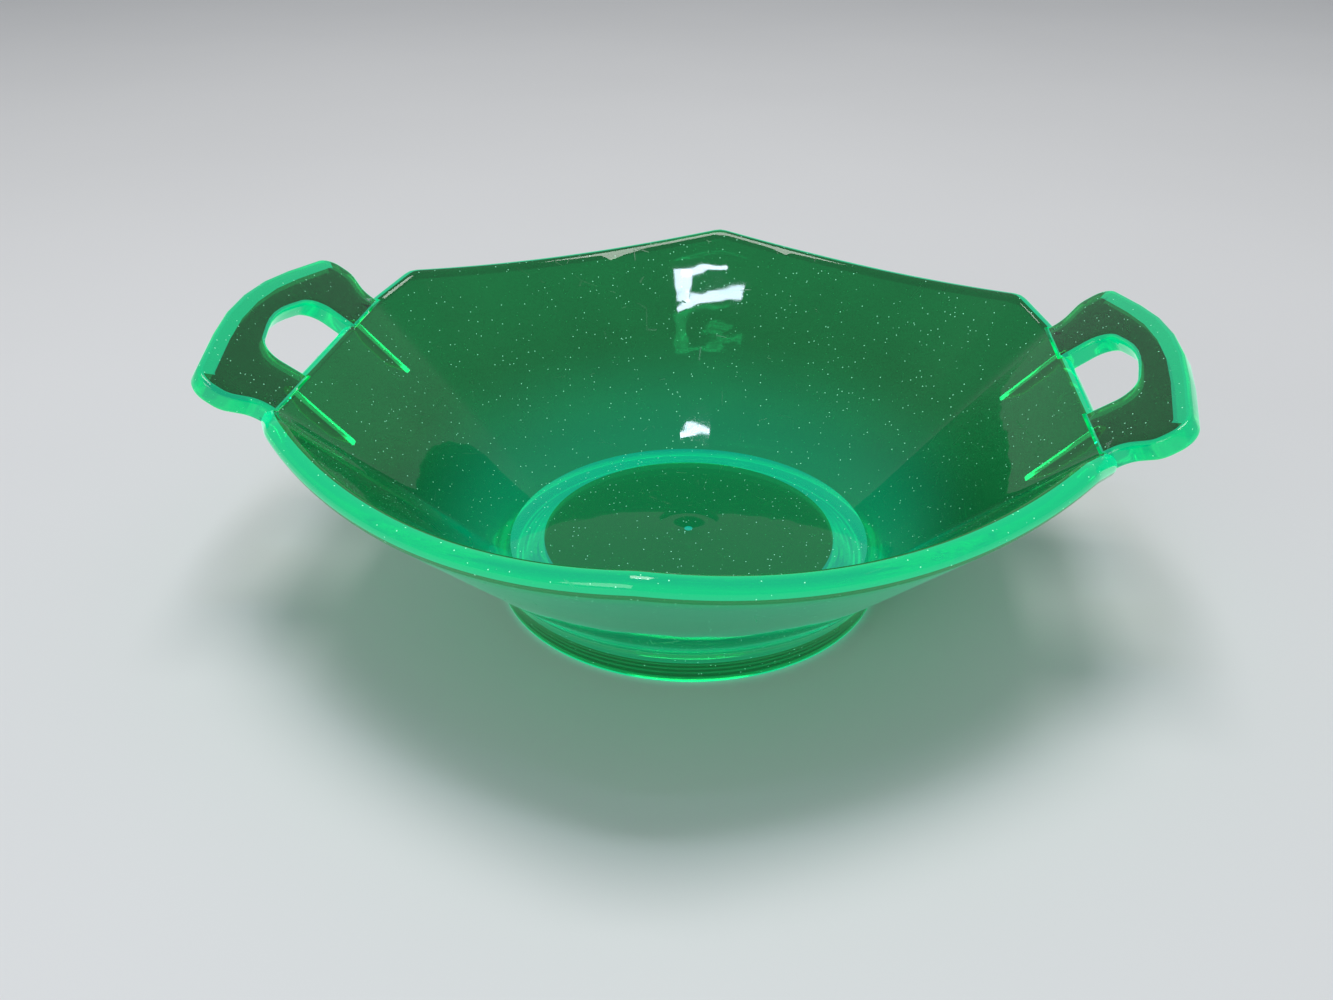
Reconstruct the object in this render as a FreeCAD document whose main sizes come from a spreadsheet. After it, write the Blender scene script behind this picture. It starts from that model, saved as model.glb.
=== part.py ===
import FreeCAD, Part
import math
import os

import Sketcher
from FreeCAD import Placement, Rotation, Vector

# A pressed green glass dish: a six-cornered bowl on a round foot, with a flat open handle on
# each of two opposite sides.  Everything is one pressing, so the parts below are its natural
# regions, which meet face to face.
#
# Frame: +Z up, origin at the middle of the foot's resting face, handles along +X and -X.

Z_AXIS = Vector(0, 0, 1)
Y_AXIS = Vector(0, 1, 0)
ORIGIN = Vector(0, 0, 0)

# Driving dimensions, millimetres and degrees.
SIZES = {
    # Foot and floor
    "foot_reach": 55.6,
    "foot_land": 51.0,
    "foot_round": 1.2,
    "foot_inner_top": 42.5,
    "foot_outer_top": 56.8,
    "foot_sweep": 20.0,
    "foot_height": 7.6,
    "floor_reach": 52.4,
    "floor_height": 12.4,
    "floor_rise": 1.0,
    # Wall and rim; the rim figures are those of the middle of its rounded edge
    "shoulder_reach": 61.5,
    "shoulder_height": 15.0,
    "corner_reach": 109.2,
    "corner_height": 67.2,
    "side_bulge": 9.1,
    "side_dip": 5.3,
    "rim_radius": 3.0,
    "root_reach": 102.5,
    "root_height": 62.4,
    "root_half": 40.0,
    # Handles, measured in the plane of the slab from the bowl's rim outward
    "handle_tilt": 35.1,
    "handle_lift": 3.8,
    "handle_thickness": 5.6,
    "handle_round": 1.2,
    "handle_inset": 4.6,
    "neck_half": 40.0,
    "neck_length": 3.0,
    "neck_round": 8.0,
    "shoulder_start": 9.8,
    "shoulder_half": 45.4,
    "shoulder_end": 19.0,
    "shoulder_round": 6.5,
    "handle_length": 29.2,
    "handle_point_round": 110.0,
    "hole_root_half": 17.5,
    "hole_half": 18.5,
    "hole_shoulder": 12.0,
    "hole_length": 17.0,
    "hole_round": 7.0,
    "hole_point_round": 30.0,
    # Ribs under the handles; reach from the bowl's middle and height, root to toe
    "rib_offset": 24.0,
    "rib_width": 2.6,
    "rib_root_reach": 101.0,
    "rib_top_reach": 107.5,
    "rib_top_height": 62.0,
    "rib_knee_reach": 104.3,
    "rib_knee_height": 55.5,
    "rib_waist_reach": 97.3,
    "rib_waist_height": 48.6,
    "rib_toe_reach": 88.0,
    "rib_toe_height": 45.6,
    "rib_round": 6.0,
}


def make_sheet(doc):
    """Put the driving dimensions in a sheet, one aliased cell each."""
    sheet = doc.addObject("Spreadsheet::Sheet", "Sizes")
    for row, (name, value) in enumerate(SIZES.items(), start=1):
        sheet.set(f"A{row}", name)
        sheet.set(f"B{row}", str(value))
        sheet.setAlias(f"B{row}", name)
    doc.recompute()
    return sheet


def size(name):
    """The expression that reads one cell of the sheet."""
    return f"Sizes.{name}"


def origin_plane(body, role):
    """One of a body's own origin planes."""
    return next(item for item in body.Origin.OriginFeatures if item.Role == role)


def new_body(doc, name):
    body = doc.addObject("PartDesign::Body", name)
    body.Label = name
    return body


def attach(sketch, body, role, offset=Placement()):
    sketch.AttachmentSupport = [(origin_plane(body, role), "")]
    sketch.MapMode = "FlatFace"
    sketch.AttachmentOffset = offset


def bind_point(sketch, geometry, end, across, up):
    """Hold one end of a piece of geometry at a place given by two expressions."""
    for kind, expression in (("DistanceX", across), ("DistanceY", up)):
        value = float(sketch.evalExpression(expression))
        index = sketch.addConstraint(
            Sketcher.Constraint(kind, -1, 1, geometry, end, value))
        sketch.setExpression(f"Constraints[{index}]", expression)


def outline_sketch(body, name, role, corners, offset=Placement(), hollow=None):
    """A closed outline; each corner is a pair of expressions.

    Its sides are straight, apart from the one whose number is given as hollow: that one runs
    down the outside of the foot, bends into the outline, and has foot_sweep as its radius.
    """
    sketch = body.newObject("Sketcher::SketchObject", name)
    attach(sketch, body, role, offset)
    places = [Vector(*(float(sketch.evalExpression(text)) for text in corner), 0)
              for corner in corners]
    count = len(corners)
    for index, (start, end) in enumerate(zip(places, places[1:] + places[:1])):
        if index == hollow:
            side = hollow_arc(start, end, float(sketch.evalExpression(size("foot_sweep"))))
        else:
            side = Part.LineSegment(start, end)
        sketch.addGeometry(side, False)
    for index, (across, up) in enumerate(corners):
        sketch.addConstraint(Sketcher.Constraint("Coincident", index, 2, (index + 1) % count, 1))
        bind_point(sketch, index, 1, across, up)
    if hollow is not None:
        radius = float(sketch.evalExpression(size("foot_sweep")))
        number = sketch.addConstraint(Sketcher.Constraint("Radius", hollow, radius))
        sketch.setExpression(f"Constraints[{number}]", size("foot_sweep"))
    return sketch


def hollow_arc(top, bottom, radius):
    """The arc between two places on the outside of the foot, bulging towards the axis."""
    chord = bottom - top
    away = Vector(-chord.y, chord.x, 0).normalize()
    if away.x < 0:
        away = -away
    reach = math.sqrt(radius ** 2 - (chord.Length / 2) ** 2)
    centre = (top + bottom) / 2 + away * reach
    first = math.atan2(top.y - centre.y, top.x - centre.x)
    last = math.atan2(bottom.y - centre.y, bottom.x - centre.x)
    return Part.ArcOfCircle(Part.Circle(centre, Z_AXIS, radius), first, last % (2 * math.pi))


# ------------------------------------------------------------------ bowl wall

def tangent_angle(centre, radius, point, side):
    """Angle, about the rim's middle, at which a line from the point touches the rim's edge."""
    away = point - centre
    half = math.acos(radius / away.Length)
    return math.atan2(away.y, away.x) + side * half


def section_sketch(body, name, angle, reach, height):
    """The wall's section in the upright plane at one angle round the bowl."""
    sketch = body.newObject("Sketcher::SketchObject", name)
    # The turn of 1 only sets the axis: its angle comes from the expression.
    attach(sketch, body, "XZ_Plane", Placement(ORIGIN, Rotation(Y_AXIS, 1)))
    sketch.setExpression("AttachmentOffset.Rotation.Angle", angle)

    def number(expression):
        return float(sketch.evalExpression(expression))

    crease = Vector(number(size("floor_reach")), number(size("floor_height")), 0)
    shoulder = Vector(number(size("shoulder_reach")), number(size("shoulder_height")), 0)
    centre = Vector(number(reach), number(height), 0)
    radius = number(size("rim_radius"))
    inside = tangent_angle(centre, radius, crease, -1)
    outside = tangent_angle(centre, radius, shoulder, 1)
    edge = Part.ArcOfCircle(Part.Circle(centre, Z_AXIS, radius), outside, inside + 2 * math.pi)
    sketch.addGeometry(Part.LineSegment(crease, edge.EndPoint), False)
    sketch.addGeometry(edge, False)
    sketch.addGeometry(Part.LineSegment(edge.StartPoint, shoulder), False)
    sketch.addGeometry(Part.LineSegment(shoulder, crease), False)
    inner, arc, outer, joint = range(4)
    sketch.addConstraint([
        Sketcher.Constraint("Tangent", inner, 2, arc, 2),
        Sketcher.Constraint("Tangent", arc, 1, outer, 1),
        Sketcher.Constraint("Coincident", outer, 2, joint, 1),
        Sketcher.Constraint("Coincident", joint, 2, inner, 1),
    ])
    bind_point(sketch, inner, 1, size("floor_reach"), size("floor_height"))
    bind_point(sketch, joint, 1, size("shoulder_reach"), size("shoulder_height"))
    bind_point(sketch, arc, 3, reach, height)
    index = sketch.addConstraint(Sketcher.Constraint("Radius", arc, radius))
    sketch.setExpression(f"Constraints[{index}]", size("rim_radius"))
    return sketch


def long_side_rim(angle):
    """Reach and height of the rim along a long side, for an angle from that side's middle."""
    half = "(Sizes.corner_reach / 2)"
    flat = "(Sizes.corner_reach * cos(30))"
    bend = f"(({half} ^ 2 + Sizes.side_bulge ^ 2) / (2 * Sizes.side_bulge))"
    middle = f"({flat} + Sizes.side_bulge - {bend})"
    reach = f"({middle} * cos({angle}) + sqrt({bend} ^ 2 - ({middle} * sin({angle})) ^ 2))"
    along = f"({reach} * sin({angle}) / {half})"
    height = f"Sizes.corner_height - Sizes.side_dip * (1 - {along} ^ 2)"
    return reach, height


def handle_side_rim(angle):
    """Reach and height of the rim along the straight stretch that carries a handle."""
    return f"Sizes.root_reach / cos({angle})", size("root_height")


def add_loft(body, name, sketches):
    loft = body.newObject("PartDesign::AdditiveLoft", name)
    loft.Profile = sketches[0]
    loft.Sections = sketches[1:]
    loft.Ruled = False
    loft.Closed = False
    return loft


def make_bowl_wall(doc):
    """Loft one quarter of the wall through upright sections, then mirror it twice."""
    body = new_body(doc, "bowl_wall")
    root_angle = "atan(Sizes.root_half / Sizes.root_reach)"

    flat = []
    for index, share in enumerate((0, 0.5, 1)):
        angle = f"{share} * {root_angle}"
        flat.append(section_sketch(body, f"FlatSection{index}", angle, *handle_side_rim(angle)))

    corner_angle, side_middle, apex_angle, sections = 30, 60, 90, 5
    side = []
    for index in range(sections):
        angle = corner_angle + (apex_angle - corner_angle) * index / (sections - 1)
        side.append(section_sketch(body, f"SideSection{index}", str(angle),
                                   *long_side_rim(f"({angle - side_middle})")))
    doc.recompute()
    add_loft(body, "FlatSide", flat)
    add_loft(body, "CornerSide", [flat[-1], side[0]])
    add_loft(body, "LongSide", side)
    doc.recompute()

    for name, role in (("MirrorAcross", "YZ_Plane"), ("MirrorAlong", "XZ_Plane")):
        mirror = body.newObject("PartDesign::Mirrored", name)
        mirror.TransformMode = "Whole shape"
        mirror.MirrorPlane = (origin_plane(body, role), [""])
        body.Tip = mirror
        doc.recompute()
    return body


# ------------------------------------------------------------- floor and foot

def add_revolution(body, sketch):
    turn = body.newObject("PartDesign::Revolution", "Turn")
    turn.Profile = sketch
    turn.ReferenceAxis = (sketch, ["V_Axis"])
    turn.Angle = 360
    return turn


def make_floor(doc):
    """The round floor of the bowl, slightly raised in the middle."""
    body = new_body(doc, "floor_disc")
    sketch = outline_sketch(body, "Section", "XZ_Plane", [
        ("0", "Sizes.floor_height + Sizes.floor_rise"),
        (size("floor_reach"), size("floor_height")),
        (size("shoulder_reach"), size("shoulder_height")),
        (size("foot_outer_top"), size("foot_height")),
        ("0", size("foot_height")),
    ], hollow=2)
    add_revolution(body, sketch)
    return body


def make_foot(doc):
    """The foot ring: an upright outer face, a narrow land and a sloping inner face."""
    body = new_body(doc, "foot_ring")
    sketch = outline_sketch(body, "Section", "XZ_Plane", [
        (size("foot_inner_top"), size("foot_height")),
        (size("foot_outer_top"), size("foot_height")),
        (size("foot_reach"), "0"),
        (size("foot_land"), "0"),
    ], hollow=1)
    turn = add_revolution(body, sketch)
    doc.recompute()
    add_fillet(body, turn, "LandRound", "foot_round",
               [name for name, edge in named_edges(turn) if is_land_edge(edge)])
    return body


def named_edges(feature):
    return [(f"Edge{index}", edge) for index, edge in enumerate(feature.Shape.Edges, start=1)]


def is_land_edge(edge):
    """True for the circles at the bottom of the foot."""
    return edge.BoundBox.ZMax < 0.01 and len(edge.Vertexes) == 1


def add_fillet(body, base, name, radius, edges):
    fillet = body.newObject("PartDesign::Fillet", name)
    fillet.Base = (base, edges)
    fillet.setExpression("Radius", size(radius))
    body.Document.recompute()
    return fillet


# -------------------------------------------------------------------- handles

def mirrored_outline(half):
    """The corners of one half (y above 0) followed by their mirror images, in order."""
    whole = list(half)
    whole += [(across, f"-({up})") for across, up in reversed(half) if up != "0"]
    return whole


def corner_edges(feature, plane, across, up):
    """The edges square to the slab that stand at one corner of its outline, both halves."""
    found = []
    for name, edge in named_edges(feature):
        ends = [plane.inverse().multVec(vertex.Point) for vertex in edge.Vertexes]
        on_corner = all(math.hypot(end.x - across, abs(end.y) - up) < 0.01 for end in ends)
        if len(ends) == 2 and on_corner:
            found.append(name)
    return found


def make_handle_slab(doc, name, turn):
    """A flat open bracket that rises outward from the rim, its edges eased."""
    body = new_body(doc, name)
    tilt = Rotation(Y_AXIS, -SIZES["handle_tilt"])
    rise = Vector(SIZES["root_reach"], 0, SIZES["root_height"] + SIZES["handle_lift"])
    plane = Placement(rise, tilt)

    outline = [
        ("-Sizes.handle_inset", size("neck_half")),
        (size("neck_length"), size("neck_half")),
        (size("shoulder_start"), size("shoulder_half")),
        (size("shoulder_end"), size("shoulder_half")),
        (size("handle_length"), "0"),
    ]
    opening = [
        ("-Sizes.handle_inset - 1", size("hole_root_half")),
        (size("hole_shoulder"), size("hole_half")),
        (size("hole_length"), "0"),
    ]
    slab_sketch = outline_sketch(body, "Outline", "XY_Plane", mirrored_outline(outline), plane)
    bind_slab_plane(slab_sketch)
    doc.recompute()
    slab = body.newObject("PartDesign::Pad", "Slab")
    slab.Profile = slab_sketch
    slab.Reversed = True
    slab.setExpression("Length", size("handle_thickness"))
    doc.recompute()

    hole_sketch = outline_sketch(body, "Opening", "XY_Plane", mirrored_outline(opening), plane)
    bind_slab_plane(hole_sketch)
    doc.recompute()
    hole = body.newObject("PartDesign::Pocket", "FingerHole")
    hole.Profile = hole_sketch
    hole.Type = "ThroughAll"
    hole.Midplane = True
    doc.recompute()

    feature = hole
    for label, radius, corners in (
            ("NeckRound", "neck_round", [outline[1]]),
            ("ShoulderRound", "shoulder_round", outline[2:4]),
            ("PointRound", "handle_point_round", [outline[4]]),
            ("HoleRound", "hole_round", [opening[1]]),
            ("HolePointRound", "hole_point_round", [opening[2]])):
        edges = []
        for across, up in corners:
            edges += corner_edges(feature, plane, float(slab_sketch.evalExpression(across)),
                                  float(slab_sketch.evalExpression(up)))
        feature = add_fillet(body, feature, label, radius, edges)
    add_fillet(body, feature, "EdgeRound", "handle_round", face_rim_edges(feature, plane))
    body.Placement = Placement(ORIGIN, Rotation(Z_AXIS, turn))
    return body


def bind_slab_plane(sketch):
    """Keep a sketch on the handle's sloping top face when the sheet changes."""
    sketch.setExpression("AttachmentOffset.Base.x", size("root_reach"))
    sketch.setExpression("AttachmentOffset.Base.z", "Sizes.root_height + Sizes.handle_lift")


def face_rim_edges(feature, plane):
    """Every edge round the slab's two flat faces, except those at the hidden root."""
    names = []
    for name, edge in named_edges(feature):
        ends = [plane.inverse().multVec(vertex.Point) for vertex in edge.Vertexes]
        level = max(end.z for end in ends) - min(end.z for end in ends) < 0.01
        at_root = all(end.x < -SIZES["handle_inset"] + 0.01 for end in ends)
        if level and not at_root:
            names.append(name)
    return names


def make_handle(doc, name, turn, wall):
    """Trim a handle slab where it meets the wall."""
    slab = make_handle_slab(doc, f"{name}_slab", turn)
    handle = doc.addObject("Part::Cut", name)
    handle.Label = name
    handle.Base = slab
    handle.Tool = wall
    return handle


def make_rib(doc, name, turn, sign, wall, handle):
    """One small curved rib between a handle's underside and the outer wall."""
    body = new_body(doc, f"{name}_blank")
    sketch = outline_sketch(body, "Profile", "XZ_Plane", [
        (size("rib_root_reach"), size("rib_top_height")),
        (size("rib_toe_reach"), size("rib_toe_height")),
        (size("rib_waist_reach"), size("rib_waist_height")),
        (size("rib_knee_reach"), size("rib_knee_height")),
        (size("rib_top_reach"), size("rib_top_height")),
    ])
    sketch.setExpression("AttachmentOffset.Base.z", f"-({sign}) * Sizes.rib_offset")
    doc.recompute()
    plate = body.newObject("PartDesign::Pad", "Plate")
    plate.Profile = sketch
    plate.Midplane = True
    plate.setExpression("Length", size("rib_width"))
    doc.recompute()
    bends = []
    for edge_name, edge in named_edges(plate):
        middle = edge.CenterOfMass
        at_knee = math.hypot(middle.x - SIZES["rib_knee_reach"],
                             middle.z - SIZES["rib_knee_height"]) < 0.01
        at_waist = math.hypot(middle.x - SIZES["rib_waist_reach"],
                              middle.z - SIZES["rib_waist_height"]) < 0.01
        if at_knee or at_waist:
            bends.append(edge_name)
    add_fillet(body, plate, "BendRound", "rib_round", bends)
    body.Placement = Placement(ORIGIN, Rotation(Z_AXIS, turn))

    clear_of_wall = doc.addObject("Part::Cut", f"{name}_off_wall")
    clear_of_wall.Base = body
    clear_of_wall.Tool = wall
    rib = doc.addObject("Part::Cut", name)
    rib.Label = name
    rib.Base = clear_of_wall
    rib.Tool = handle
    return rib


# ----------------------------------------------------------------------- main

def check(doc, parts):
    for item in doc.Objects:
        bad = {"Invalid", "Error"} & set(item.State)
        if bad:
            raise RuntimeError(f"{item.Name} is {bad}")
    for part in parts:
        if part.Shape.isNull() or not part.Shape.isValid():
            raise RuntimeError(f"{part.Label} has no valid shape")


def main():
    doc = FreeCAD.newDocument("UraniumGlassDish")
    make_sheet(doc)
    wall = make_bowl_wall(doc)
    parts = [wall, make_floor(doc), make_foot(doc)]
    for side, turn in (("right", 0), ("left", 180)):
        handle = make_handle(doc, f"{side}_handle", turn, wall)
        parts.append(handle)
        # A half turn swaps front and back, so the left side's ribs start on the other side.
        front = -1 if turn == 0 else 1
        for place, sign in (("front", front), ("back", -front)):
            parts.append(make_rib(doc, f"{side}_{place}_rib", turn, sign, wall, handle))
    doc.recompute()
    check(doc, parts)
    os.makedirs("parts", exist_ok=True)
    for part in parts:
        print(part.Label, part.Shape.ShapeType, len(part.Shape.Solids), round(part.Shape.Volume))
        part.Shape.exportStep(f"parts/{part.Label}.step")


main()
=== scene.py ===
import math

import bmesh
import bpy
from mathutils import Matrix, Vector
from mathutils.bvhtree import BVHTree
from mathutils.geometry import tessellate_polygon


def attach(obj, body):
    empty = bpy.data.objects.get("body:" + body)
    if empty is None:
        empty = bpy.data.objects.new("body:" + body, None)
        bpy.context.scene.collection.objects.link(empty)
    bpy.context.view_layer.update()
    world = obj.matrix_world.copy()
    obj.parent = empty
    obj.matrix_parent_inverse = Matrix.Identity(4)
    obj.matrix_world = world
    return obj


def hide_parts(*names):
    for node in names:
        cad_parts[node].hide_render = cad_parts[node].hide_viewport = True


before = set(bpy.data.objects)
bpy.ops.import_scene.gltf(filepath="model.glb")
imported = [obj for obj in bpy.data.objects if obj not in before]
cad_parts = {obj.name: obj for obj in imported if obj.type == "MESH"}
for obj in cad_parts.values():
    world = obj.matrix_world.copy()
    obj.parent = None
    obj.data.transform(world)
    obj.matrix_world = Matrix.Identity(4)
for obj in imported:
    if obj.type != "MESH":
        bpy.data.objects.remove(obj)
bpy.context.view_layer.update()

# A two-handled footed bowl in green uranium glass. Every length of the glass is in millimetres
# and is turned into metres by MM. The frame is the CAD's: foot on z = 0, handles along x.
MM = 0.001
TURN = 2 * math.pi

# Rim, wall, floor and foot, as in the CAD.
RIM_CORNERS = 6
CORNER_REACH = 109.2
CORNER_HEIGHT = 67.2
SIDE_BULGE = 9.1
SIDE_DIP = 5.3
RIM_RADIUS = 3.0
ROOT_REACH = 102.5
ROOT_HEIGHT = 62.4
ROOT_HALF = 40.0
CREASE = (52.4, 12.4)
SHOULDER = (61.5, 15.0)
FLOOR_MIDDLE = 13.4
FOOT_TOP_OUTER = (56.8, 7.6)
FOOT_TOP_INNER = (42.5, 7.6)
FOOT_REACH = 55.6
FOOT_LAND = 51.0
FOOT_ROUND = 1.2
FOOT_CLEAR = 0.3
FOOT_SWEEP = 20.0

# The corners of the rim are softened by averaging it over a small angle, with these weights.
SOFT_ANGLE = math.radians(1.1)
SOFT_WEIGHTS = (1, 2, 3, 2, 1)

# The floor's small mark, as (radius, lift above the floor), and where the floor is divided.
CENTRE_MARK = [(0.0, 0.04), (1.0, 0.04), (1.2, 0.0), (8.6, 0.0), (9.0, 0.02), (9.4, 0.0)]
FLOOR_RADII = (12, 16, 20, 24, 28, 32, 36, 40, FOOT_TOP_INNER[0], 46, 49)
RECESS_RADII = (36.0, 24.0, 12.0, 4.0, 0.0)

# Fine rings on the sloping inner face of the foot.
FOOT_RINGS = 11
FOOT_RING_DEPTH = 0.18

# Handles, drawn in the plane of their flat top: x outwards, y along the rim, z up from the glass.
HANDLE_LIFT = 3.66
HANDLE_TILT = math.radians(35.1)
HANDLE_X = Vector((math.cos(HANDLE_TILT), 0, math.sin(HANDLE_TILT)))
HANDLE_Z = Vector((-math.sin(HANDLE_TILT), 0, math.cos(HANDLE_TILT)))
HANDLE_THICKNESS = 5.6
HANDLE_ROUND = 1.2
HANDLE_INSET = 2.0
HANDLE_OUTLINE = [(3.0, 40.0, 8.0), (9.8, 45.4, 6.5), (19.0, 45.4, 6.5), (29.2, 0.0, 110.0)]
ROOT_START = 1.92
HANDLE_SIDE = 85.0
HOLE_ROOT_HALF = 17.5
HOLE_OUTLINE = [(12.0, 18.5, 7.0), (17.0, 0.0, 30.0)]

# Ribs under the handles, drawn in an upright plane: x outwards, z up, then the corner's radius.
RIB_OUTLINE = [
    (107.5, 62.0, 0.0),
    (104.3, 55.5, 6.0),
    (97.3, 48.6, 6.0),
    (88.0, 45.6, 0.0),
    (101.0, 62.0, 0.0),
]
RIB_FOOT = 46.5
RIB_OFFSET = 24.0
RIB_WIDTH = 2.6
RIB_ROUND = 0.6
RIB_BORDER = 0.1

# How finely the glass is divided: pieces round the bowl and in its sections, and the largest
# turn, in radians, between two points of a rounded corner.
AROUND = 360
WALL_ROWS = 10
ROUND_STEPS = 10
SWEEP_STEPS = 8
SLAB_STEPS = 4
FOOT_TURN = 0.3
HANDLE_TURN = 0.14
RIB_TURN = 0.2

# The hair's breadth left between pieces that join, and how near a face must be to touch.
GAP = 0.02
TOUCH = 0.01

# Folds sharper than this are shaded crisp.
FOLD_LIMIT = math.radians(28)

# In metres: points nearer than this become one, and a cut this near to a point goes through it.
MERGE = 1e-6
SNAP = 1e-7

# Shares of painted glow, from 0 to 1, standing in for trapped light coming out: over the rim,
# along a dim line below it, down the outside of the wall, and at the floor, the foot and the
# handles.
RIM_GLOW_START = 2
RIM_DIM_ROWS = 2
RIM_DIM_PAINTED_GLOW = 0.12
OUTSIDE_PAINTED_GLOW = 0.4
OUTSIDE_FADE = 0.6
MARK_PAINTED_GLOW = 0.9
FLOOR_RING_PAINTED_GLOW = 0.55
SHOULDER_PAINTED_GLOW = 0.15
INNER_FOOT_PAINTED_GLOW = 0.55

# A border of painted glow on the flat faces of a handle, along its outer side: its width and
# share, the x from which it starts, and how far the outline has turned outwards where it starts
# and fills.
HANDLE_BORDER = 3.0
HANDLE_PAINTED_GLOW = 0.85
BORDER_START = 18.0
FACING_START = -0.05
FACING_RANGE = 0.25


def rounded(corners, closed, largest_turn):
    """Corners given as (x, y, radius), turned into points with those corners rounded."""
    points = []
    count = len(corners)
    for index, (x, y, radius) in enumerate(corners):
        here = Vector((x, y))
        end = not closed and index in (0, count - 1)
        if radius <= 0 or end:
            points.append(here)
            continue
        before = (Vector(corners[index - 1][:2]) - here).normalized()
        after = (Vector(corners[(index + 1) % count][:2]) - here).normalized()
        half = before.angle(after) / 2
        reach = radius / math.tan(half)
        middle = here + (before + after).normalized() * radius / math.sin(half)
        first = here + before * reach - middle
        sweep = first.angle_signed(here + after * reach - middle)
        pieces = max(2, math.ceil(abs(sweep) / largest_turn))
        for k in range(pieces + 1):
            points.append(middle + Matrix.Rotation(-sweep * k / pieces, 2) @ first)
    return points


def hollow(start, end, radius, steps):
    """Points of the concave arc between two points of a profile, its centre on the outer side."""
    start, end = Vector(start), Vector(end)
    chord = end - start
    outward = Vector((-chord.y, chord.x)).normalized()
    if outward.x < 0:
        outward = -outward
    depth = math.sqrt(radius**2 - (chord.length / 2) ** 2)
    middle = (start + end) / 2 + outward * depth
    first = start - middle
    sweep = first.angle_signed(end - middle)
    return [middle + Matrix.Rotation(-sweep * k / steps, 2) @ first for k in range(steps + 1)]


def glass_piece(name, points, faces, joints=(), edges=None):
    """A mesh from millimetre points. joints are the faces that meet another piece, and edges
    gives each face its share of painted glow, from 0 to 1, kept as the face attribute edge."""
    mesh = bpy.data.meshes.new(name)
    mesh.from_pydata([Vector(p) * MM for p in points], [], faces)
    piece = bpy.data.objects.new(name, mesh)
    bpy.context.scene.collection.objects.link(piece)
    for label, chosen in (("joint", dict.fromkeys(joints, 1.0)), ("edge", edges or {})):
        values = [chosen.get(index, 0.0) for index in range(len(faces))]
        mesh.attributes.new(label, "FLOAT", "FACE").data.foreach_set("value", values)
    return piece


def mesh_work(piece, work):
    """Runs work on the piece's mesh through bmesh."""
    bm = bmesh.new()
    bm.from_mesh(piece.data)
    work(bm)
    bm.to_mesh(piece.data)
    bm.free()
    piece.data.update()


def smooth(piece):
    """Smooth shading, but crisp at joints and at any fold sharper than FOLD_LIMIT."""

    def work(bm):
        joint = bm.faces.layers.float["joint"]
        bmesh.ops.recalc_face_normals(bm, faces=bm.faces)
        for face in bm.faces:
            face.smooth = True
        for edge in bm.edges:
            same = len({round(face[joint]) for face in edge.link_faces}) == 1
            folded = edge.calc_face_angle(0.0) > FOLD_LIMIT
            edge.smooth = same and not folded

    mesh_work(piece, work)


def revolve(name, profile, joint_rows, painted_glow_rows, closed):
    """A turned piece. The profile is (radius, height) points, and rows are its segments."""
    points = []
    faces = []
    joints = []
    edges = {}
    rows = len(profile)
    for turn in range(AROUND):
        angle = TURN * turn / AROUND
        for radius, height in profile:
            points.append((radius * math.cos(angle), radius * math.sin(angle), height))
    last = rows if closed else rows - 1
    for turn in range(AROUND):
        near = turn * rows
        far = (turn + 1) % AROUND * rows
        for row in range(last):
            upper = (row + 1) % rows
            corners = [near + row, far + row, far + upper, near + upper]
            if row in joint_rows:
                joints.append(len(faces))
            edges[len(faces)] = painted_glow_rows.get(row, 0.0)
            faces.append(corners)
    piece = glass_piece(name, points, faces, joints, edges)
    mesh_work(piece, lambda bm: bmesh.ops.remove_doubles(bm, verts=bm.verts, dist=MERGE))
    return piece


def sharp_rim(angle):
    """(reach, height) of the rim's round at an angle, before its corners are softened."""
    side = TURN / RIM_CORNERS
    from_middle = (angle + side / 2) % side - side / 2
    middle = angle - from_middle
    on_handle_side = abs(math.sin(middle)) < math.sin(side / 2)
    if not on_handle_side:
        half = CORNER_REACH / 2
        flat = CORNER_REACH * math.cos(side / 2)
        bend = (half**2 + SIDE_BULGE**2) / (2 * SIDE_BULGE)
        centre = flat + SIDE_BULGE - bend
        across = centre * math.sin(from_middle)
        reach = centre * math.cos(from_middle) + math.sqrt(bend**2 - across**2)
        along = reach * math.sin(from_middle) / half
        return reach, CORNER_HEIGHT - SIDE_DIP * (1 - along**2)
    lean = abs(from_middle)
    if lean <= math.atan2(ROOT_HALF, ROOT_REACH):
        return ROOT_REACH / math.cos(lean), ROOT_HEIGHT
    root = Vector((ROOT_REACH, ROOT_HALF))
    corner = Vector((CORNER_REACH * math.cos(side / 2), CORNER_REACH * math.sin(side / 2)))
    way = Vector((math.cos(lean), math.sin(lean)))
    run = corner - root
    share = -root.cross(way) / run.cross(way)
    return (root + run * share).length, ROOT_HEIGHT + share * (CORNER_HEIGHT - ROOT_HEIGHT)


def soft_rim(angle):
    """The rim with its corners softened, as the pressed glass has them."""
    middle = len(SOFT_WEIGHTS) // 2
    total = sum(SOFT_WEIGHTS)
    reach = 0.0
    height = 0.0
    for index, weight in enumerate(SOFT_WEIGHTS):
        found = sharp_rim(angle + SOFT_ANGLE * (index - middle) / middle)
        reach += found[0] * weight / total
        height += found[1] * weight / total
    return Vector((reach, height))


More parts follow.
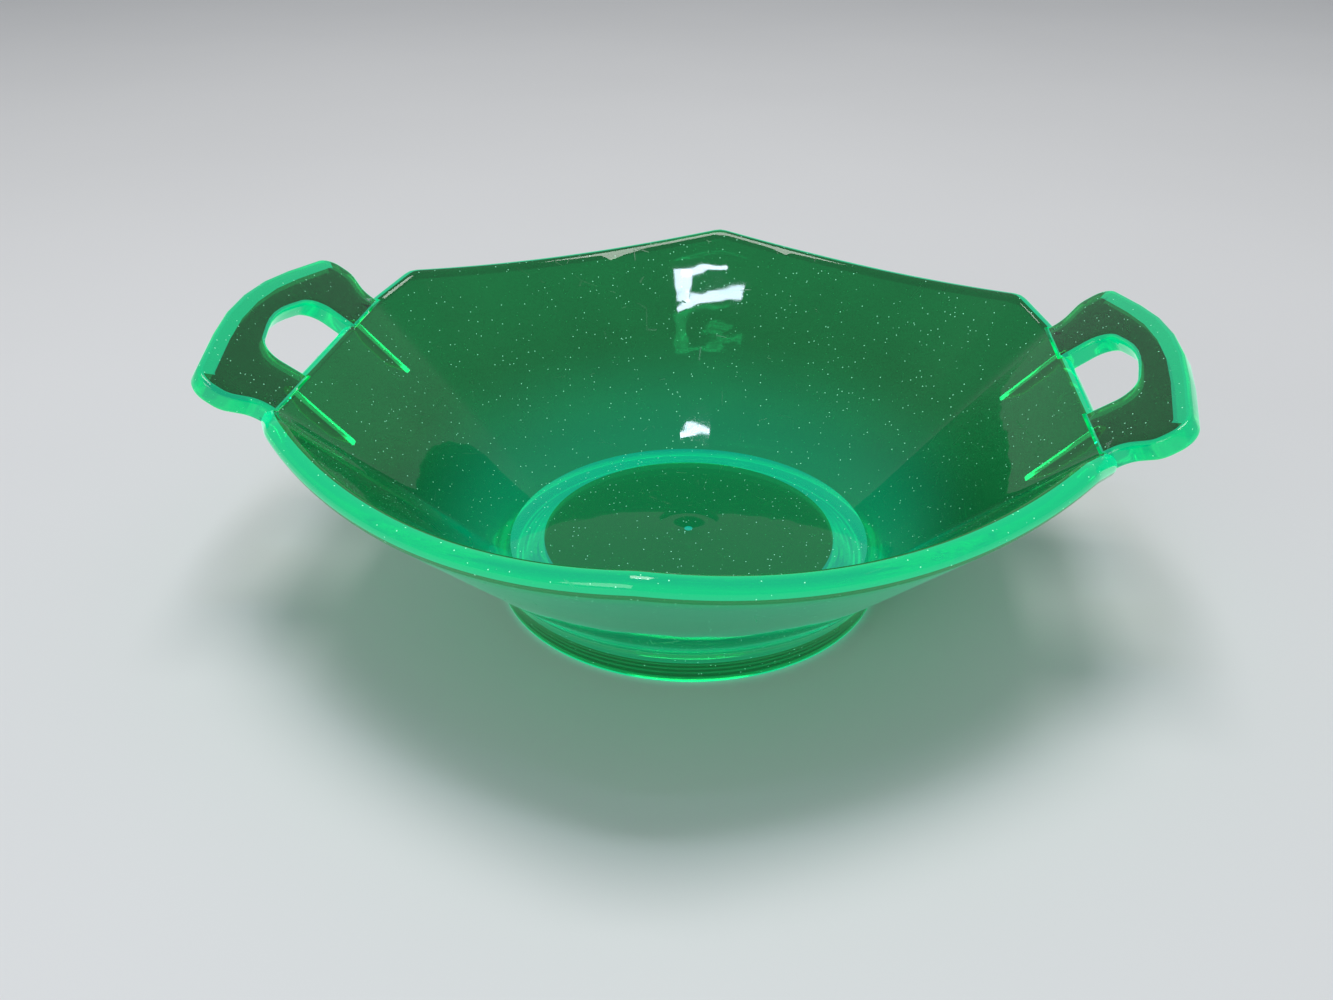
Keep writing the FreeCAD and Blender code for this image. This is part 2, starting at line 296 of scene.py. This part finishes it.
def wall_profile(angle):
    """The wall's section at an angle: up the inside, over the rim, down the outside."""
    centre = soft_rim(angle)
    inner = Vector(CREASE) - centre
    outer = Vector(SHOULDER) - centre
    start = math.atan2(inner.y, inner.x) + TURN - math.acos(RIM_RADIUS / inner.length)
    finish = math.atan2(outer.y, outer.x) + math.acos(RIM_RADIUS / outer.length)
    arc = []
    for k in range(ROUND_STEPS + 1):
        lean = start + (finish - start) * k / ROUND_STEPS
        arc.append(centre + RIM_RADIUS * Vector((math.cos(lean), math.sin(lean))))
    lift = Vector((-1, 1)).normalized() * GAP
    low_in, low_out = Vector(CREASE) + lift, Vector(SHOULDER) + lift
    up = [low_in.lerp(arc[0], k / WALL_ROWS) for k in range(WALL_ROWS)]
    down = [arc[-1].lerp(low_out, (k + 1) / WALL_ROWS) for k in range(WALL_ROWS)]
    return up + arc + down


def to_handle(point):
    """A point of the right handle's plane, in the bowl's frame (both in millimetres)."""
    x, y, z = point
    root = Vector((ROOT_REACH, y, ROOT_HEIGHT + HANDLE_LIFT))
    return root + HANDLE_X * x + HANDLE_Z * z


def mark_joined_places(bm):
    """Cuts the outlines of the handles' roots and of the ribs into the wall, and marks the
    faces that they cover as joints."""
    joint = bm.faces.layers.float["joint"]
    edge = bm.faces.layers.float["edge"]
    rib_low, rib_high = RIB_OFFSET - RIB_WIDTH / 2, RIB_OFFSET + RIB_WIDTH / 2
    for side in (1, -1):
        out = Vector((side, 1, 1))
        spot = to_handle((0, 0, 0)) * out * MM
        x_way, z_way = HANDLE_X * out, HANDLE_Z * out
        planes = [
            (spot - x_way * ROOT_START * MM, x_way),
            (spot - z_way * HANDLE_THICKNESS * MM, z_way),
            (Vector((0, 0, RIB_FOOT * MM)), Vector((0, 0, 1))),
        ]
        along_rim = Vector((0, 1, 0))
        for across in (ROOT_HALF, HOLE_ROOT_HALF, rib_low, rib_high):
            planes.append((along_rim * across * MM, along_rim))
            planes.append((-along_rim * across * MM, along_rim))
        for place, way in planes:
            near = [f for f in bm.faces if f.calc_center_median().x * side > HANDLE_SIDE * MM]
            parts = near + list(dict.fromkeys(e for f in near for e in f.edges))
            parts += list(dict.fromkeys(v for f in near for v in f.verts))
            bmesh.ops.bisect_plane(bm, geom=parts, plane_co=place, plane_no=way, dist=SNAP)
        for face in bm.faces:
            middle = face.calc_center_median()
            local = middle - spot
            if middle.x * side < HANDLE_SIDE * MM:
                continue
            beside_handle = local.dot(z_way) > -HANDLE_THICKNESS * MM
            under_root = (
                beside_handle
                and local.dot(x_way) > -ROOT_START * MM
                and HOLE_ROOT_HALF * MM < abs(middle.y) < ROOT_HALF * MM
            )
            under_rib = (
                not beside_handle
                and face.normal.x * side > 0
                and middle.z > RIB_FOOT * MM
                and rib_low * MM < abs(middle.y) < rib_high * MM
            )
            if under_root or under_rib:
                face[joint] = 1.0
                face[edge] = 0.0


def rim_glow(row):
    """How much painted glow a row of the wall's section is given: none inside, most over
    the rim, a dim line below it, then less and less down the outside."""
    after_rim = row - WALL_ROWS - ROUND_STEPS
    if row < WALL_ROWS + RIM_GLOW_START:
        return 0.0
    if after_rim < -RIM_DIM_ROWS:
        return 1.0
    if after_rim < 0:
        return RIM_DIM_PAINTED_GLOW
    return OUTSIDE_PAINTED_GLOW * (1 - OUTSIDE_FADE * after_rim / WALL_ROWS)


def make_wall():
    """The wall, one section for each step round the bowl."""
    profiles = [wall_profile(TURN * turn / AROUND) for turn in range(AROUND)]
    rows = len(profiles[0])
    points = []
    faces = []
    joints = []
    edges = {}
    for turn, profile in enumerate(profiles):
        angle = TURN * turn / AROUND
        for radius, height in profile:
            points.append((radius * math.cos(angle), radius * math.sin(angle), height))
    for turn in range(AROUND):
        near = turn * rows
        far = (turn + 1) % AROUND * rows
        for row in range(rows):
            upper = (row + 1) % rows
            if row == rows - 1:
                joints.append(len(faces))
            # Each row takes its share of painted glow.
            edges[len(faces)] = rim_glow(row)
            faces.append([near + row, far + row, far + upper, near + upper])
    return glass_piece("glass_bowl_wall", points, faces, joints, edges)


def make_floor():
    """The floor: across its top to the fold, down the shoulder to the foot, and back below."""
    slope = (CREASE[1] - FLOOR_MIDDLE) / CREASE[0]
    profile = [(x, FLOOR_MIDDLE + slope * x + lift) for x, lift in CENTRE_MARK]
    profile += [(x, FLOOR_MIDDLE + slope * x) for x in FLOOR_RADII]
    profile.append(CREASE)
    at_wall = len(profile) - 1
    profile += [tuple(p) for p in hollow(SHOULDER, FOOT_TOP_OUTER, FOOT_SWEEP, SWEEP_STEPS)]
    at_foot = len(profile) - 1
    profile.append(FOOT_TOP_INNER)
    profile += [(x, FOOT_TOP_INNER[1]) for x in RECESS_RADII]
    # Painted glow on the shoulder, on the small mark in the middle and on the floor's outer ring.
    glow_rows = dict.fromkeys(range(at_wall + 1, at_foot), SHOULDER_PAINTED_GLOW)
    glow_rows.update(dict.fromkeys((0, 1), MARK_PAINTED_GLOW))
    for row, point in enumerate(profile[:at_wall]):
        if point[0] >= FOOT_TOP_INNER[0]:
            glow_rows[row] = FLOOR_RING_PAINTED_GLOW
    return revolve("glass_floor", profile, [at_wall, at_foot], glow_rows, False)


def make_foot():
    """The foot: down its hollow outside, under the land, and up the ringed inside."""
    top = FOOT_TOP_OUTER[1] - GAP
    outside = hollow((FOOT_TOP_OUTER[0], top), (FOOT_REACH, 0.0), FOOT_SWEEP, SWEEP_STEPS)
    low = [p for p in outside[:-1] if p.y > FOOT_ROUND + FOOT_CLEAR]
    land = rounded(
        [
            (*low[-1], 0.0),
            (FOOT_REACH, 0.0, FOOT_ROUND),
            (FOOT_LAND, 0.0, FOOT_ROUND),
            (FOOT_TOP_INNER[0], top, 0.0),
        ],
        False,
        FOOT_TURN,
    )
    start, finish = land[-2], land[-1]
    rings = []
    for k in range(1, FOOT_RINGS):
        depth = FOOT_RING_DEPTH if k % 2 else 0.0
        rings.append(start.lerp(finish, k / FOOT_RINGS) + Vector((depth, depth)))
    inside = land[:-1] + rings + [finish]
    profile = [tuple(p) for p in low[:-1]] + [tuple(p) for p in inside]
    rows = len(profile)
    # Painted glow: full round the land under the foot, a share up the ringed inside, none
    # outside.
    painted_glow_rows = dict.fromkeys(range(len(low), rows - 1), 1.0)
    painted_glow_rows.update(dict.fromkeys(range(rows - 1 - FOOT_RINGS, rows - 1), INNER_FOOT_PAINTED_GLOW))
    return revolve("glass_foot_ring", profile, [rows - 1], painted_glow_rows, True)


def handle_loop():
    """The handle's outline as a closed loop of points, its finger hole open towards the wall."""
    root = -HANDLE_INSET
    outer = [(root, ROOT_HALF, 0.0)] + HANDLE_OUTLINE
    outer += [(x, -y, r) for x, y, r in reversed(HANDLE_OUTLINE[:-1])]
    outer += [(root, -ROOT_HALF, 0.0)]
    inner = [(root, -HOLE_ROOT_HALF, 0.0)]
    inner += [(x, -y, r) for x, y, r in HOLE_OUTLINE]
    inner += [(x, y, r) for x, y, r in reversed(HOLE_OUTLINE[:-1])]
    inner += [(root, HOLE_ROOT_HALF, 0.0)]
    return rounded(outer + inner, True, HANDLE_TURN)


def offset_loop(loop, distance):
    """The loop moved inwards by distance. A very sharp corner moves less than its full share."""
    least_lean = 0.4
    moved = []
    count = len(loop)
    for index, point in enumerate(loop):
        before = (point - loop[index - 1]).normalized()
        after = (loop[(index + 1) % count] - point).normalized()
        along = before + after
        inward = Vector((-along.y, along.x)).normalized() * -1
        lean = max(least_lean, inward.dot(Vector((before.y, -before.x))))
        moved.append(point + inward * distance / lean)
    return moved


def make_slab(name, loop, thickness, radius, place, border, painted_border_glow=0.0):
    """A flat slab with rounded edges: loop is its outline, and place puts (x, y, z) in the
    bowl's frame, z running down from 0 to -thickness. Its rounded edges take the full painted
    glow, and the last argument is the share of painted glow on the border of the flat faces,
    where the outline faces away from the bowl."""
    levels = [(radius + border, 0.0)]
    for k in range(SLAB_STEPS + 1):
        lean = math.pi / 2 * k / SLAB_STEPS
        levels.append((radius * (1 - math.sin(lean)), radius * (1 - math.cos(lean))))
    levels += [(inset, thickness - depth) for inset, depth in reversed(levels)]
    points = []
    for inset, depth in levels:
        points += [place((p.x, p.y, -depth)) for p in offset_loop(loop, inset)]
    count = len(loop)
    faces = []
    edges = {}
    for level in range(len(levels) - 1):
        for k in range(count):
            after = (k + 1) % count
            near, far = level * count, (level + 1) * count
            outward = (loop[k] - loop[after]).normalized().y
            facing = min(1.0, max(0.0, (outward - FACING_START) / FACING_RANGE))
            # Painted glow: full over the rounded edges, a share on the border of the flat faces.
            if 0 < level < len(levels) - 2:
                edges[len(faces)] = 1.0
            elif loop[k].x > BORDER_START:
                edges[len(faces)] = painted_border_glow * facing
            faces.append([near + k, near + after, far + after, far + k])
    flat = [Vector((p.x, p.y, 0)) for p in offset_loop(loop, levels[0][0])]
    triangles = tessellate_polygon([flat])
    lowest = (len(levels) - 1) * count
    faces += [list(t) for t in triangles]
    faces += [[lowest + k for k in reversed(t)] for t in triangles]
    return glass_piece(name, points, faces, (), edges)


def cut_by(piece, cutter):
    """Cuts the cutter's solid away from the piece, and marks the cut faces as joints."""
    modifier = piece.modifiers.new("cut", "BOOLEAN")
    modifier.operation = "DIFFERENCE"
    modifier.solver = "EXACT"
    modifier.object = cutter
    graph = bpy.context.evaluated_depsgraph_get()
    cut = bpy.data.meshes.new_from_object(piece.evaluated_get(graph))
    piece.modifiers.clear()
    piece.data = cut
    tree = BVHTree.FromObject(cutter, graph)

    def work(bm):
        joint = bm.faces.layers.float["joint"]
        edge = bm.faces.layers.float["edge"]
        for face in bm.faces:
            found = tree.find_nearest(face.calc_center_median())
            if found[3] is not None and found[3] < TOUCH * MM:
                face[joint] = 1.0
                face[edge] = 0.0

    mesh_work(piece, work)


def swollen(piece, name, distance):
    """A copy of the piece, a hair larger all round, to cut others with."""
    copy = bpy.data.objects.new(name, piece.data.copy())
    bpy.context.scene.collection.objects.link(copy)

    def work(bm):
        bmesh.ops.recalc_face_normals(bm, faces=bm.faces)
        bm.normal_update()
        moves = [(v, v.normal * distance * MM) for v in bm.verts]
        for vertex, move in moves:
            vertex.co += move

    mesh_work(copy, work)
    return copy


def half_turned(piece, name):
    """A copy of the piece turned half round the bowl's axis."""
    mesh = piece.data.copy()
    mesh.transform(Matrix.Rotation(math.pi, 4, "Z"))
    copy = bpy.data.objects.new(name, mesh)
    bpy.context.scene.collection.objects.link(copy)
    return copy


def make_rib(name, side, across):
    """A rib at y = across, under the right handle where side is 1 and the left where it is -1."""

    def place(point):
        x, z, y = point
        return Vector((x, across + RIB_WIDTH / 2 + y, z))

    loop = rounded(RIB_OUTLINE, True, RIB_TURN)
    rib = make_slab(name, loop, RIB_WIDTH, RIB_ROUND, place, RIB_BORDER)
    if side < 0:
        rib.data.transform(Matrix.Scale(-1, 4, (1, 0, 0)))
    return rib


wall = make_wall()
smooth(wall)
floor_disc = make_floor()
foot = make_foot()
cutter = swollen(wall, "wall_cutter", GAP)
mesh_work(wall, mark_joined_places)

right_handle = make_slab(
    "glass_right_handle",
    handle_loop(),
    HANDLE_THICKNESS,
    HANDLE_ROUND,
    to_handle,
    HANDLE_BORDER,
    HANDLE_PAINTED_GLOW,
)
smooth(right_handle)
handle_cutter = swollen(right_handle, "handle_cutter", GAP)
left_cutter = half_turned(handle_cutter, "left_handle_cutter")
cut_by(right_handle, cutter)
left_handle = half_turned(right_handle, "glass_left_handle")

ribs = {}
for side, side_name, rib_cutter in ((1, "right", handle_cutter), (-1, "left", left_cutter)):
    for across, end_name in ((-RIB_OFFSET, "front"), (RIB_OFFSET, "back")):
        name = f"{side_name}_{end_name}_rib"
        rib = make_rib(f"glass_{name}", side, across)
        smooth(rib)
        cut_by(rib, cutter)
        cut_by(rib, rib_cutter)
        ribs[name] = rib

for helper in (cutter, handle_cutter, left_cutter):
    bpy.data.objects.remove(helper)


# ---------------------------------------------------------------- materials
def node(tree, kind, inputs=None, **settings):
    """A new node. inputs gives its sockets a value or the output that feeds them, and settings
    are its own properties."""
    made = tree.nodes.new(kind)
    for key, value in settings.items():
        setattr(made, key, value)
    for key, value in (inputs or {}).items():
        if isinstance(value, bpy.types.NodeSocket):
            tree.links.new(value, made.inputs[key])
        else:
            made.inputs[key].default_value = value
    return made


# The glass: its tint where the waves of its surface make it deep or thin, the colour of its
# specks, and the green of its painted glow with the share of blue in it.
DEEP_TINT = (0.003, 0.095, 0.025, 1)
THIN_TINT = (0.006, 0.14, 0.038, 1)
SPECK_COLOUR = (0.55, 1.0, 0.75, 1)
FACE_PAINTED_GLOW_BLUE = 0.36
EDGE_PAINTED_GLOW_BLUE = 0.52
FLOOR_PAINTED_GLOW_BLUE = 0.75
GLASS_IOR = 1.5
INSIDE_COLOUR = (0.2, 0.95, 0.60, 1)
INSIDE_DENSITY = 60.0

# Marks in the glass, as scales of their patterns per metre and shares of a pattern's cell.
WAVES_SCALE = 45.0
HAZE_SCALE = 28.0
HAZE_START = 0.45
HAZE_END = 0.8
SCRATCH_SCALE = 55.0
SCRATCH_WIDTH = 0.006
PATCH_SCALE = 160.0
PATCH_LIMIT = 0.6
SPECK_SCALE = 600.0
SPECK_SIZE = 0.09
SPECK_LIMIT = 0.35

# How rough the glass is when clean and where it is hazy, and what a scratch adds and digs.
CLEAN_ROUGHNESS = 0.015
HAZY_ROUGHNESS = 0.07
SCRATCH_ROUGHNESS = 0.25
SCRATCH_DEPTH = -0.05
BUMP_STRENGTH = 0.35
BUMP_HEIGHT = 0.0004

# Heights in metres between which the painted glow just above the floor fades away.
LOW_GLOW_START = 0.013
LOW_GLOW_END = 0.044


def glass_material(name, glow, edge_glow, edge_blue=EDGE_PAINTED_GLOW_BLUE, low_share=0.0):
    """Green uranium glass with painted glow. glow and edge_glow are the strengths of the painted
    glow on its faces and on its edges and specks, and edge_blue is the blue in the edges' painted
    glow. low_share is the share of that painted glow also given to the glass just above the
    floor.
    Faces that meet another piece let light straight through."""
    material = bpy.data.materials.new(name)
    material.use_nodes = True
    tree = material.node_tree
    tree.nodes.clear()
    place = node(tree, "ShaderNodeTexCoord").outputs["Object"]

    def maths(operation, *values):
        inputs = dict(enumerate(values))
        return node(tree, "ShaderNodeMath", inputs, operation=operation).outputs[0]

    def noise(scale, detail):
        inputs = {"Vector": place, "Scale": scale, "Detail": detail}
        return node(tree, "ShaderNodeTexNoise", inputs).outputs["Fac"]

    def cells(scale, feature):
        inputs = {"Vector": place, "Scale": scale}
        return node(tree, "ShaderNodeTexVoronoi", inputs, feature=feature)

    def blend(factor, first, second):
        inputs = {"Factor": factor, "A": first, "B": second}
        return node(tree, "ShaderNodeMix", inputs, data_type="RGBA").outputs["Result"]

    # Slow waves in the pressed surface, and the faint cloudiness of a much handled piece.
    waves = noise(WAVES_SCALE, 2.0)
    haze = noise(HAZE_SCALE, 5.0)
    # Hairline scratches: the edges of large cells, kept only here and there.
    nearest_edge = cells(SCRATCH_SCALE, "DISTANCE_TO_EDGE").outputs["Distance"]
    thin = maths("LESS_THAN", nearest_edge, SCRATCH_WIDTH)
    kept = maths("GREATER_THAN", noise(PATCH_SCALE, 1.0), PATCH_LIMIT)
    scratch = maths("MULTIPLY", thin, kept)
    # Dust and tiny seeds in the glass: scattered small spots, which also take painted glow.
    seeds = cells(SPECK_SCALE, "F1")
    spot = maths("LESS_THAN", seeds.outputs["Distance"], SPECK_SIZE)
    chance = node(tree, "ShaderNodeSeparateColor", {"Color": seeds.outputs["Color"]})
    some = maths("GREATER_THAN", chance.outputs["Red"], SPECK_LIMIT)
    speck = maths("MULTIPLY", spot, some)
    clear = maths("SUBTRACT", 1.0, speck)

    colour = blend(speck, blend(waves, DEEP_TINT, THIN_TINT), SPECK_COLOUR)
    rough = node(
        tree,
        "ShaderNodeMapRange",
        {
            "Value": haze,
            "From Min": HAZE_START,
            "From Max": HAZE_END,
            "To Min": CLEAN_ROUGHNESS,
            "To Max": HAZY_ROUGHNESS,
        },
    )
    worn = maths("MULTIPLY_ADD", scratch, SCRATCH_ROUGHNESS, rough.outputs["Result"])
    height = maths("MULTIPLY_ADD", scratch, SCRATCH_DEPTH, waves)
    bump = node(
        tree,
        "ShaderNodeBump",
        {"Height": height, "Strength": BUMP_STRENGTH, "Distance": BUMP_HEIGHT},
    )

    def glass(blue, strength):
        shader = node(
            tree,
            "ShaderNodeBsdfPrincipled",
            {
                "Base Color": colour,
                "Roughness": worn,
                "IOR": GLASS_IOR,
                "Transmission Weight": clear,
                "Normal": bump.outputs["Normal"],
                "Emission Color": (0.0, 1.0, blue, 1),
                "Emission Strength": strength,
            },
        )
        return shader.outputs[0]

    def mixed(factor, first, second):
        return node(tree, "ShaderNodeMixShader", {0: factor, 1: first, 2: second}).outputs[0]

    # A faint painted glow on the faces and a strong one on the edges.
    face = glass(FACE_PAINTED_GLOW_BLUE, glow)
    edge = glass(edge_blue, edge_glow)
    where = node(tree, "ShaderNodeSeparateXYZ", {"Vector": place})
    low = node(
        tree,
        "ShaderNodeMapRange",
        {
            "Value": where.outputs["Z"],
            "From Min": LOW_GLOW_START,
            "From Max": LOW_GLOW_END,
            "To Min": low_share,
            "To Max": 0.0,
        },
        interpolation_type="SMOOTHSTEP",
    )
    # Where the strong painted glow shows: by each face's edge attribute, on the specks, and low
    # down.
    painted_glow_share = node(tree, "ShaderNodeAttribute", attribute_name="edge")
    painted_edge_and_speck_glow = maths("MAXIMUM", painted_glow_share.outputs["Fac"], speck)
    painted_glow_mix = maths("MAXIMUM", painted_edge_and_speck_glow, low.outputs["Result"])
    at_joint = node(tree, "ShaderNodeAttribute", attribute_name="joint")
    through = node(tree, "ShaderNodeBsdfTransparent")
    surface = mixed(at_joint.outputs["Fac"], mixed(painted_glow_mix, face, edge), through.outputs[0])
    inside = node(
        tree,
        "ShaderNodeVolumeAbsorption",
        {"Color": INSIDE_COLOUR, "Density": INSIDE_DENSITY},
    )
    output = node(tree, "ShaderNodeOutputMaterial")
    tree.links.new(surface, output.inputs["Surface"])
    tree.links.new(inside.outputs[0], output.inputs["Volume"])
    return material


# Each finish's painted glow, on its faces and on its edges.
foot_glass = glass_material("green_glass_foot", glow=0.01, edge_glow=0.36)
handle_glass = glass_material("green_glass_handles", glow=0.01, edge_glow=0.36)
body_glass = glass_material("green_glass", glow=0.02, edge_glow=0.42, low_share=0.3)
floor_glass = glass_material(
    "green_glass_floor", glow=0.10, edge_glow=0.42, edge_blue=FLOOR_PAINTED_GLOW_BLUE
)
rib_glass = glass_material("green_glass_ribs", glow=0.04, edge_glow=0.72)

finishes = {"rib": rib_glass, "handle": handle_glass, "ring": foot_glass, "disc": floor_glass}
parts = {
    "bowl_wall": wall,
    "floor_disc": floor_disc,
    "foot_ring": foot,
    "right_handle": right_handle,
    "left_handle": left_handle,
}
for piece in parts.values():
    smooth(piece)
parts.update(ribs)
for node_name, piece in parts.items():
    piece.data.materials.clear()
    piece.data.materials.append(finishes.get(node_name.split("_")[-1], body_glass))
    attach(piece, "root")
    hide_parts(node_name)


# ---------------------------------------------------------------- floor, light and camera
GROUND_HALF = 5.0
GROUND_DARK = (0.70, 0.71, 0.72, 1)
GROUND_LIGHT = (0.76, 0.77, 0.78, 1)
GROUND_ROUGHNESS = 0.75
GROUND_CLOUDS = {"Scale": 3.0, "Detail": 3.0}
SKY_COLOUR = (0.92, 0.95, 1.0, 1)
SKY_STRENGTH = 0.36


def make_ground():
    """A plain pale floor with a barely visible cloudiness."""
    size = GROUND_HALF
    mesh = bpy.data.meshes.new("ground")
    corners = [(-size, -size, 0), (size, -size, 0), (size, size, 0), (-size, size, 0)]
    mesh.from_pydata(corners, [], [(0, 1, 2, 3)])
    ground = bpy.data.objects.new("ground", mesh)
    bpy.context.scene.collection.objects.link(ground)
    material = bpy.data.materials.new("pale_ground")
    material.use_nodes = True
    tree = material.node_tree
    shader = tree.nodes["Principled BSDF"]
    place = node(tree, "ShaderNodeTexCoord").outputs["Object"]
    cloud = node(tree, "ShaderNodeTexNoise", {"Vector": place, **GROUND_CLOUDS})
    shade = node(
        tree,
        "ShaderNodeMix",
        {"Factor": cloud.outputs["Fac"], "A": GROUND_DARK, "B": GROUND_LIGHT},
        data_type="RGBA",
    )
    tree.links.new(shade.outputs["Result"], shader.inputs["Base Color"])
    shader.inputs["Roughness"].default_value = GROUND_ROUGHNESS
    mesh.materials.append(material)


def make_lamp(name, spot, aim, size, power, colour):
    """A soft rectangular lamp that lights and is mirrored, but isn't seen itself."""
    light = bpy.data.lights.new(name, "AREA")
    light.shape = "RECTANGLE"
    light.size, light.size_y = size
    light.energy = power
    light.color = colour
    lamp = bpy.data.objects.new(name, light)
    bpy.context.scene.collection.objects.link(lamp)
    lamp.location = spot
    lamp.rotation_euler = (Vector(aim) - Vector(spot)).to_track_quat("-Z", "Y").to_euler()
    lamp.visible_camera = False


def make_world():
    """Even pale light from all round."""
    world = bpy.data.worlds.new("studio")
    world.use_nodes = True
    back = world.node_tree.nodes["Background"]
    back.inputs["Color"].default_value = SKY_COLOUR
    back.inputs["Strength"].default_value = SKY_STRENGTH
    bpy.context.scene.world = world


# The camera stands in front and a little to the right, looking down on the bowl's middle.
CAMERA_AIM = Vector((0, 0, 30.8)) * MM
CAMERA_DISTANCE = 337.5 * MM
CAMERA_AZIMUTH = 0.092
CAMERA_ELEVATION = 0.507
CAMERA_PAN = -0.019
CAMERA_TIP = -0.020
CAMERA_ROLL = 0.011
CAMERA_LENS = 31.6


def make_camera():
    """The camera, turned by a small pan, tip and roll from looking straight at its aim."""
    level = math.cos(CAMERA_ELEVATION)
    back = Vector((
        math.sin(CAMERA_AZIMUTH) * level,
        -math.cos(CAMERA_AZIMUTH) * level,
        math.sin(CAMERA_ELEVATION),
    ))
    right = (-back).cross(Vector((0, 0, 1))).normalized()
    up = right.cross(-back)
    ahead = (-back + right * CAMERA_PAN + up * CAMERA_TIP).normalized()
    right = ahead.cross(up).normalized()
    up = right.cross(ahead)
    turned_right = right * math.cos(CAMERA_ROLL) + up * math.sin(CAMERA_ROLL)
    turned_up = up * math.cos(CAMERA_ROLL) - right * math.sin(CAMERA_ROLL)
    data = bpy.data.cameras.new("camera")
    data.lens = CAMERA_LENS
    data.clip_start = 0.01
    camera = bpy.data.objects.new("camera", data)
    bpy.context.scene.collection.objects.link(camera)
    axes = Matrix((turned_right, turned_up, -ahead)).transposed()
    camera.matrix_world = Matrix.Translation(CAMERA_AIM + back * CAMERA_DISTANCE) @ axes.to_4x4()
    bpy.context.scene.camera = camera


# Every lamp: its name, place, aim, width and height in metres, power and colour. The key and the
# fill light the bowl softly. The four small ones stand beside the camera, and their mirrored
# images are the glint on the far wall and the line below it.
BOWL_MIDDLE = (0.0, 0.0, 0.03)
GLINT_AIM = (-0.003, 0.094, 0.056)
GLINT_FOOT = (-0.003, 0.057, 0.017)
WARM = (1.0, 0.98, 0.95)
COOL = (0.95, 0.98, 1.0)
BLUISH = (0.7, 0.8, 1.0)
LAMPS = [
    ("key_light", (0.0, 0.15, 1.7), BOWL_MIDDLE, (0.9, 0.7), 15.0, WARM),
    ("fill_light", (-0.7, -1.3, 0.6), BOWL_MIDDLE, (0.9, 0.6), 5.0, COOL),
    ("glint_top", (-0.015, -0.104, 0.570), GLINT_AIM, (0.10, 0.006), 0.06, BLUISH),
    ("glint_side", (0.035, -0.113, 0.566), GLINT_AIM, (0.03, 0.022), 0.06, BLUISH),
    ("glint_low", (-0.025, -0.123, 0.562), GLINT_AIM, (0.15, 0.008), 0.11, BLUISH),
    ("glint_floor", (0.002, -0.211, 0.497), GLINT_FOOT, (0.12, 0.005), 0.07, BLUISH),
]

make_ground()
make_world()
for lamp_row in LAMPS:
    make_lamp(*lamp_row)
make_camera()
bpy.context.scene.view_settings.view_transform = "Standard"
